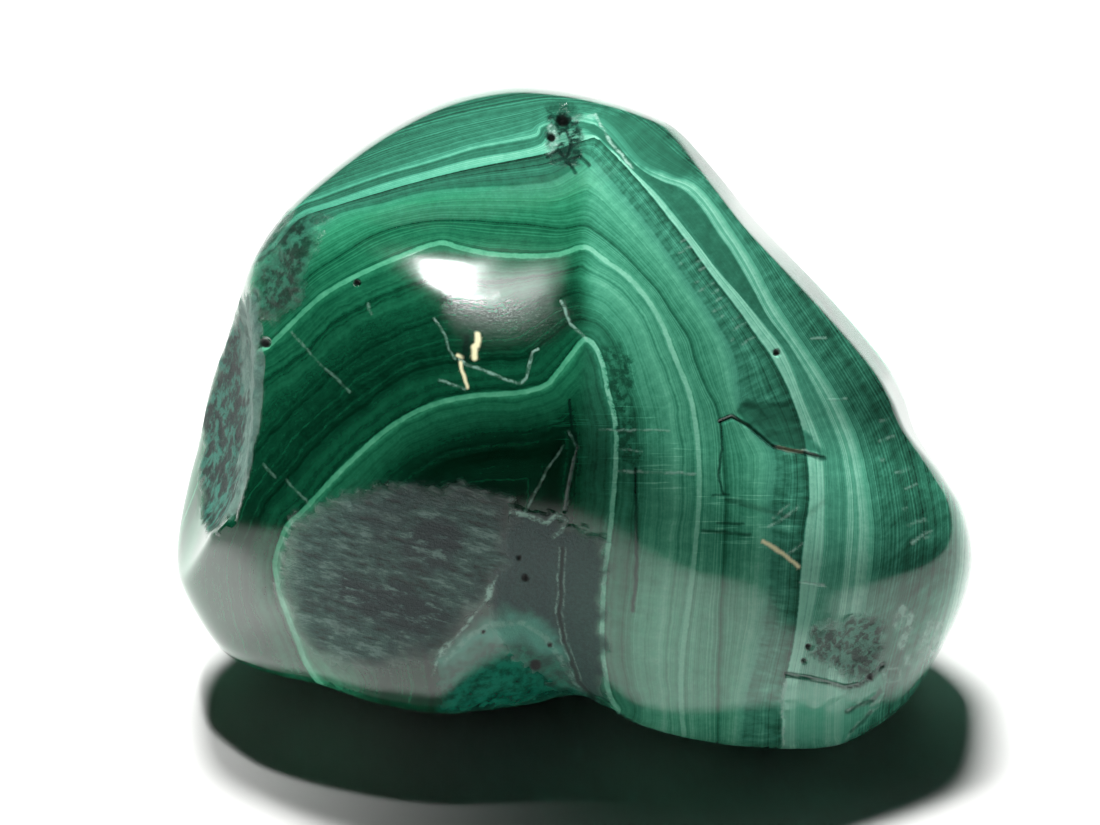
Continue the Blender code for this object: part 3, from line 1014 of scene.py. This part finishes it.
def stone_mesh():
    """The stone's mesh, with the flaws' relief, cut flat where it rests."""
    ball = finely_meshed_ball()
    dirs = np.array([vertex.co.normalized() for vertex in ball.verts])
    points = stone_surface(dirs)
    points -= dirs * relief(points)[:, None]
    points[:, 2] -= set_back(points)
    for vertex, place in zip(ball.verts, tipped_back(points)):
        vertex.co = place
    bmesh.ops.bisect_plane(
        ball, geom=ball.verts[:] + ball.edges[:] + ball.faces[:],
        plane_co=(0, 0, 0), plane_no=(0, 0, -1), clear_outer=True,
    )
    rim = [edge for edge in ball.edges if edge.is_boundary]
    bmesh.ops.contextual_create(ball, geom=rim)
    bmesh.ops.recalc_face_normals(ball, faces=ball.faces[:])
    for edge in rim:
        edge.smooth = False
    mesh = bpy.data.meshes.new("polished_stone")
    ball.to_mesh(mesh)
    ball.free()
    for polygon in mesh.polygons:
        polygon.use_smooth = True
    return mesh


def marked(mesh):
    """Write the bands and flaws into the mesh, as one number for each vertex and kind."""
    places = np.empty(len(mesh.vertices) * 3)
    mesh.vertices.foreach_get("co", places)
    points = tipped_up(places.reshape(-1, 3))
    for name, values in {**band_fields(points), **flaw_fields(points)}.items():
        attribute = mesh.attributes.new(name, "FLOAT", "POINT")
        attribute.data.foreach_set("value", values.astype(np.float32))


def new_material(name):
    material = bpy.data.materials.new(name)
    material.use_nodes = True
    return material


class Wires:
    """Adds nodes to a material or light, each fed by numbers, colours or other nodes' outputs."""

    def __init__(self, tree, surface="Principled BSDF"):
        self.tree = tree
        self.surface = tree.nodes[surface]

    def feed(self, socket, value):
        if isinstance(value, bpy.types.NodeSocket):
            self.tree.links.new(value, socket)
        else:
            socket.default_value = value

    def add(self, kind, feeds, **settings):
        node = self.tree.nodes.new(kind)
        for name, setting in settings.items():
            setattr(node, name, setting)
        for socket, value in feeds.items():
            self.feed(node.inputs[socket], value)
        return node

    def sum_of(self, operation, *values):
        return self.add("ShaderNodeMath", dict(enumerate(values)), operation=operation).outputs[0]

    def times(self, first, *others):
        for other in others:
            first = self.sum_of("MULTIPLY", first, other)
        return first

    def plus(self, first, second):
        return self.sum_of("ADD", first, second)

    def most(self, first, *others):
        for other in others:
            first = self.sum_of("MAXIMUM", first, other)
        return first

    def rest(self, share):
        return self.sum_of("SUBTRACT", 1.0, share)

    def field(self, name):
        return self.add("ShaderNodeAttribute", {}, attribute_name=name).outputs["Fac"]

    def mixed(self, share, first, second):
        """Number between two numbers."""
        return self.add("ShaderNodeMix", {0: share, 2: first, 3: second}, data_type="FLOAT").outputs[0]

    def tinted(self, share, first, second):
        """Colour between two colours."""
        return self.add("ShaderNodeMix", {0: share, 6: first, 7: second}, data_type="RGBA").outputs[2]

    def stepped(self, value, low, high):
        """0 up to low and 1 from high on, smooth between."""
        feeds = {0: value, 1: low, 2: high, 3: 0.0, 4: 1.0}
        return self.add("ShaderNodeMapRange", feeds, interpolation_type="SMOOTHSTEP").outputs[0]

    def ramp(self, value, stops):
        node = self.add("ShaderNodeValToRGB", {0: value})
        elements = node.color_ramp.elements
        elements.remove(elements[1])
        for index, (position, colour) in enumerate(stops):
            element = elements[0] if index == 0 else elements.new(position)
            element.position = position
            element.color = (*colour, 1)
        return node.outputs[0]

    def tone_ramp(self, value, stops):
        return self.ramp(value, [(at / MOST_BANDS, (tone,) * 3) for at, tone in stops])

    def joined(self, x, y, z):
        return self.add("ShaderNodeCombineXYZ", {0: x, 1: y, 2: z}).outputs[0]

    def noise(self, name, vector):
        kind = NOISES[name]
        feeds = {"Vector": vector, "Scale": kind.scale, "Detail": kind.detail, "Roughness": kind.roughness}
        return self.add("ShaderNodeTexNoise", feeds).outputs[0]

    def laid(self, name, seen):
        """A noise laid in its direction across the viewing frame."""
        degrees, along, across = LAID[name]
        turned = self.add("ShaderNodeMapping", {"Vector": seen, "Rotation": (0, 0, math.radians(-degrees))})
        scaled = {"Vector": turned.outputs[0], "Scale": (along, across, along)}
        return self.noise(name, self.add("ShaderNodeMapping", scaled).outputs[0])

    def swing(self, name, value):
        """A noise from 0 to 1 as a change up and down, from about minus to plus half its swing."""
        return self.times(self.plus(value, -0.5), NOISES[name].swing)

    def spots(self, name, value):
        return self.stepped(value, *NOISES[name].spots)

    def spotted(self, name, vector):
        return self.spots(name, self.noise(name, vector))


def band_count(wires, mm):
    """Band count with small waves, turned back and forth beyond the outermost line."""
    count = wires.field("bands")
    for name in ("band_waves", "band_ripples"):
        count = wires.plus(count, wires.swing(name, wires.noise(name, mm)))
    kept = wires.sum_of("MINIMUM", count, BANDS_TURN_BACK_AT)
    over = wires.most(wires.plus(count, -BANDS_TURN_BACK_AT), 0.0)
    turned = wires.sum_of("PINGPONG", over, BANDS_TURN_OVER)
    return wires.sum_of("SUBTRACT", kept, turned), count


def with_fine_bands(wires, tone, folded, count):
    """Tone with many fine bands, which differ more from each other in the outer ones."""
    outer = wires.mixed(wires.stepped(folded, *OUTER_BANDS_FROM), 1.0, OUTER_BANDS_CHANGE)
    for name, row in FINE_BAND_ROWS.items():
        bands = wires.noise(name, wires.joined(count, row, 0.0))
        tone = wires.plus(tone, wires.times(wires.swing(name, bands), outer))
    return tone


def with_gap(wires, tone, folded):
    """Tone with the dark gap between the two outer pale lines, high on the right limb."""
    way = wires.field("way")
    starts = wires.mixed(wires.stepped(way, *GAP_NARROWS_PX), *GAP_STARTS)
    inside = wires.stepped(wires.sum_of("SUBTRACT", folded, starts), 0.0, GAP_EDGE)
    inside = wires.times(inside, wires.rest(wires.stepped(folded, *GAP_ENDS)))
    high = wires.rest(wires.stepped(way, *GAP_FADES_PX))
    gap = wires.times(inside, high, wires.field("right_limb"), GAP_STRENGTH)
    return wires.mixed(gap, tone, GAP_TONE)


def with_fibres(wires, tone, folded, count):
    """Tone with fibres across the bands, strongest in the dark band."""
    way = wires.times(wires.field("way"), FIBRES_PER_PX)
    fibres = wires.noise("fibres", wires.joined(way, wires.times(count, FIBRES_PER_BAND), 0.0))
    in_band = wires.times(
        wires.stepped(folded, *DARK_BAND_STARTS), wires.rest(wires.stepped(folded, *DARK_BAND_ENDS)),
    )
    fibrous = wires.times(in_band, wires.mixed(wires.field("right_limb"), *DARK_BAND_FIBRES))
    fibrous = wires.plus(fibrous, wires.times(wires.field("right_limb"), RIGHT_LIMB_FIBRES))
    return wires.plus(tone, wires.times(wires.swing("fibres", fibres), fibrous))


def band_tone(wires, mm, seen):
    """Tone of the banding from 0, nearly black, to 1, pale mint, with painted fill light on the lower
    faces, and how chalky the stone is.
    """
    folded, count = band_count(wires, mm)
    position = wires.times(folded, 1 / MOST_BANDS)
    limbs = (wires.tone_ramp(position, tones) for tones in (LEFT_TONES, RIGHT_TONES))
    right = wires.field("right_limb")
    tone = with_fine_bands(wires, wires.mixed(right, *limbs), folded, count)
    # Painted fill light: the lower faces are painted paler
    tone = wires.plus(tone, wires.times(wires.field("low"), PAINTED_FILL_LIGHT_ON_LOW_FACE))
    tone = with_gap(wires, tone, folded)
    mottled = wires.times(wires.stepped(folded, *MOTTLED_FROM), right)
    slants = wires.swing("slants", wires.laid("slants", seen))
    tone = wires.plus(tone, wires.times(slants, mottled))
    tone = with_fibres(wires, tone, folded, count)
    darker = wires.mixed(wires.stepped(wires.field("way"), *DARKER_UP_TO_PX), DARKER_BY, 1.0)
    tone = wires.times(tone, wires.mixed(wires.stepped(folded, *DARK_BAND_ENDS), 1.0, darker))
    tone = wires.plus(tone, wires.swing("clouds", wires.noise("clouds", mm)))
    chalky = wires.plus(wires.stepped(folded, *CHALKY_FROM), wires.times(right, RIGHT_LIMB_CHALKY))
    return tone, wires.sum_of("MINIMUM", chalky, 1.0)


def with_inner_lines(wires, tone, mm):
    """Tone with the two bright lines nearest the growth centre."""
    shake = wires.swing("line_shake", wires.noise("line_shake", mm))
    whole = wires.mixed(wires.spotted("line_gaps", mm), LINE_IN_A_GAP, 1.0)
    strength = wires.times(wires.mixed(wires.field("right_limb"), LEFT_LIMB_LINES, 1.0), whole)
    for name, (half_width, fade, line_tone) in INNER_LINES.items():
        off = wires.sum_of("ABSOLUTE", wires.plus(wires.field(name), shake))
        share = wires.rest(wires.stepped(off, half_width, half_width + fade))
        tone = wires.mixed(wires.times(share, strength), tone, line_tone)
    return tone


def with_worn_places(wires, tone, mm, seen, grain):
    """Tone with the dark cloud, the fine scoring and the places that are paler or darker."""
    cloud = wires.times(wires.field("cloud"), wires.spotted("speckles", mm))
    tone = wires.mixed(cloud, tone, CLOUD_TONE)
    hairs = wires.spots("hairs", wires.laid("hairs", seen))
    for spots, change in ((hairs, HAIR_CHANGE), (wires.spotted("shades", mm), SHADE_CHANGE)):
        tone = wires.plus(tone, wires.times(wires.field("hatched"), spots, change))
    tone = wires.plus(tone, wires.swing("grain", grain))
    for name, (share, drawn_to) in DRAWN_TONES.items():
        tone = wires.mixed(wires.times(wires.field(name), share), tone, drawn_to)
    return tone


def painted(wires, colour, name, paint, share=1.0):
    """Colour with one flaw's paint laid over it."""
    cover = wires.times(wires.field(name), COVERS.get(name, 1.0), share)
    return wires.tinted(cover, colour, paint)


def mottled(wires, name, spots):
    return wires.tinted(spots, *MOTTLED_COLOURS[name])


def with_left_scar(wires, colour, mm, lumps):
    """Colour with the scar at the left, its smooth strip whose pale grey-green is partly a painted
    reflection, and the bruise above.
    """
    patchy = wires.spots("lumps", lumps)
    strip = mottled(wires, "scar_sheen_strip", wires.spotted("strip_clouds", mm))
    scar = wires.tinted(wires.field("scar_sheen_strip"), mottled(wires, "scar", patchy), strip)
    colour = painted(wires, colour, "scar", scar)
    return painted(wires, colour, "bruise", mottled(wires, "bruise", patchy))


def with_lower_face(wires, colour, mm, seen, grain, streaks):
    """Colour with the grey belly and saddle, the pale arch and the turquoise lobe under it."""
    flaked = wires.times(wires.field("flaked"), wires.rest(wires.spots("streaks", streaks)), FLAKED_COVER)
    flaked = wires.most(flaked, wires.times(wires.spotted("blotches", seen), BLOTCH_COVER))
    belly = wires.tinted(flaked, wires.ramp(streaks, BELLY_COLOURS), PLAIN_COLOURS["flaked"])
    colour = painted(wires, colour, "belly", belly)
    colour = painted(wires, colour, "saddle", mottled(wires, "saddle", wires.spots("grain", grain)))
    colour = painted(wires, colour, "arch", PLAIN_COLOURS["arch"])
    return painted(wires, colour, "turquoise", mottled(wires, "turquoise", wires.spotted("lobe_spots", mm)))


def with_small_flaws(wires, colour, mm):
    """Colour with the crumbled crest, the corner's hollow, and the lines, cracks and pits, the glints among
    them painted highlights and the gap beside them painted shade.
    """
    cells = wires.spotted("cells", mm)
    crumbled = wires.mixed(cells, CRUMBLE_BETWEEN_CELLS, 1.0)
    colour = painted(wires, colour, "crumble", PLAIN_COLOURS["crumble"], crumbled)
    colour = painted(wires, colour, "corner", mottled(wires, "corner", cells))
    crumbs = wires.mixed(wires.spotted("crumbs", mm), PALE_BETWEEN_CRUMBS, 1.0)
    colour = painted(wires, colour, "pale", PLAIN_COLOURS["pale"], crumbs)
    for name in ("cream_and_glints", "dark", "cracks", "pits"):
        colour = painted(wires, colour, name, PLAIN_COLOURS[name])
    return colour


def add_fine_relief(wires, grain, rough, streaks, lumps, tone):
    """Feed the surface with a bump made of its grain, lumps, streaks and bands."""
    lumpy = wires.most(*(wires.field(name) for name in LUMPY_PLACES))
    parts = (
        wires.times(grain, rough),
        wires.times(wires.field("belly"), streaks, BELLY_STREAKS_HEIGHT),
        wires.times(lumpy, wires.swing("lumps", lumps)),
        wires.times(wires.field("saddle"), grain, SADDLE_GRAIN_HEIGHT),
        wires.times(tone, TONE_HEIGHT),
    )
    height = 0.0
    for part in parts:
        height = wires.plus(height, part)
    feeds = {"Height": height, "Strength": BUMP_STRENGTH, "Distance": BUMP_HEIGHT}
    wires.feed(wires.surface.inputs["Normal"], wires.add("ShaderNodeBump", feeds).outputs[0])


def malachite():
    material = new_material("malachite")
    wires = Wires(material.node_tree)
    places = wires.add("ShaderNodeTexCoord", {}).outputs["Object"]
    mm = wires.add("ShaderNodeVectorMath", {0: places, 1: (1000,) * 3}, operation="MULTIPLY").outputs[0]
    upright = (math.radians(VIEW_ELEVATION - 90), 0, 0)
    seen = wires.add("ShaderNodeMapping", {"Vector": mm, "Rotation": upright}).outputs[0]
    grain = wires.noise("grain", mm)
    lumps = wires.noise("lumps", mm)
    streaks = wires.laid("streaks", seen)
    banding, chalky = band_tone(wires, mm, seen)
    tone = with_worn_places(wires, with_inner_lines(wires, banding, mm), mm, seen, grain)
    colour = wires.tinted(chalky, wires.ramp(tone, DENSE_GREENS), wires.ramp(tone, CHALKY_GREENS))
    colour = with_left_scar(wires, colour, mm, lumps)
    colour = with_lower_face(wires, colour, mm, seen, grain, streaks)
    wires.feed(wires.surface.inputs["Base Color"], with_small_flaws(wires, colour, mm))
    rough = wires.most(*(wires.times(wires.field(name), share) for name, share in ROUGH_PLACES.items()))
    polish = wires.plus(wires.times(grain, GRAIN_ROUGHNESS), POLISH_ROUGHNESS)
    roughness = wires.plus(wires.times(rough, BREAK_ROUGHNESS), polish)
    wires.feed(wires.surface.inputs["Roughness"], roughness)
    add_fine_relief(wires, grain, rough, streaks, lumps, tone)
    wires.surface.inputs["IOR"].default_value = REFRACTION
    return material


def add_object(name, data):
    made = bpy.data.objects.new(name, data)
    bpy.context.scene.collection.objects.link(made)
    return made


def add_floor():
    mesh = bpy.data.meshes.new("floor")
    corners = [(x * FLOOR_REACH, y * FLOOR_REACH, 0) for x, y in ((-1, -1), (1, -1), (1, 1), (-1, 1))]
    mesh.from_pydata(corners, [], [(0, 1, 2, 3)])
    material = new_material("pale_floor")
    surface = material.node_tree.nodes["Principled BSDF"]
    surface.inputs["Base Color"].default_value = FLOOR_COLOUR
    surface.inputs["Roughness"].default_value = FLOOR_ROUGHNESS
    mesh.materials.append(material)
    add_object("floor", mesh)


def aim(thing, way):
    thing.rotation_mode = "QUATERNION"
    thing.rotation_quaternion = way.to_track_quat("Z", "Y")


def soften_edges(light, fades_from):
    """Let an area light fade from a share of its size to its edges."""
    light.use_nodes = True
    wires = Wires(light.node_tree, "Emission")
    across = wires.add("ShaderNodeNewGeometry", {}).outputs["Parametric"]
    parts = wires.add("ShaderNodeSeparateXYZ", {0: across})
    fades = []
    for part in (parts.outputs[0], parts.outputs[1]):
        middle = wires.sum_of("ABSOLUTE", wires.plus(part, -0.5))
        fades.append(wires.sum_of("SUBTRACT", 1.0, wires.stepped(middle, fades_from, 0.5)))
    wires.feed(wires.surface.inputs["Strength"], wires.times(*fades))


def add_pool_of_light():
    """A spot that brightens the floor at the left and isn't seen in the stone."""
    light = bpy.data.lights.new("left_pool", "SPOT")
    light.spot_size = math.radians(POOL_OPENING)
    light.spot_blend = 1.0
    light.shadow_soft_size = POOL_SOFTNESS
    light.energy = POOL_WATTS
    lamp = add_object("left_pool", light)
    lamp.location = POOL_PLACE
    lamp.visible_glossy = False
    aim(lamp, Vector((0, 0, 1)))


def add_lamp(name, place, size, watts, mirrored):
    """An area light that either lights the scene or is only mirrored by the stone."""
    light = bpy.data.lights.new(name, "AREA")
    light.shape = "RECTANGLE"
    light.size, light.size_y = size
    light.energy = watts
    lamp = add_object(name, light)
    lamp.location = place
    lamp.visible_glossy = mirrored
    lamp.visible_diffuse = not mirrored
    aim(lamp, Vector(place))
    return light


def add_lights():
    add_lamp("key", *KEY_LIGHT, mirrored=False)
    for name, (place, size, watts, fades_from) in MIRRORED_LIGHTS.items():
        soften_edges(add_lamp(name, place, size, watts, mirrored=True), fades_from)
    add_pool_of_light()


def add_camera():
    elevation = math.radians(VIEW_ELEVATION)
    towards_eye = Vector((0, -math.cos(elevation), math.sin(elevation)))
    upwards = Vector((0, math.sin(elevation), math.cos(elevation)))
    across, up = to_plane(AIMED_AT_PX) / 1000
    data = bpy.data.cameras.new("camera")
    data.sensor_width = SENSOR_WIDTH
    data.lens = SENSOR_WIDTH * EYE_DISTANCE / (PICTURE_WIDTH_PX * mm_per_pixel() / 1000)
    data.clip_start = 0.01
    camera = add_object("camera", data)
    aimed_at = Vector(HEART_PLACE) + Vector((across, 0, 0)) + upwards * up
    camera.location = aimed_at + towards_eye * EYE_DISTANCE
    aim(camera, towards_eye)
    bpy.context.scene.camera = camera


def add_world():
    world = bpy.data.worlds.new("studio")
    world.use_nodes = True
    world.node_tree.nodes["Background"].inputs["Color"].default_value = WORLD_COLOUR
    bpy.context.scene.world = world
    bpy.context.scene.view_settings.view_transform = "Standard"


def add_stone():
    mesh = stone_mesh()
    marked(mesh)
    mesh.materials.append(malachite())
    stone = add_object("polished_stone", mesh)
    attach(stone, "root")
    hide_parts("stone")


noise.seed_set(NOISE_SEED)
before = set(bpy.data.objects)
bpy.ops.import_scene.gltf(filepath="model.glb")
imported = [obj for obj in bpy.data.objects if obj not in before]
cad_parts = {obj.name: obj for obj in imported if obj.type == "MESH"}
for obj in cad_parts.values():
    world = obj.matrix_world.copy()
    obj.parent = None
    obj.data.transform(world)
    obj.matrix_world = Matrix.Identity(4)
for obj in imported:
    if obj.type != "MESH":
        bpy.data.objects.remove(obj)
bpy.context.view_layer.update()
add_camera()
add_floor()
add_lights()
add_world()
add_stone()
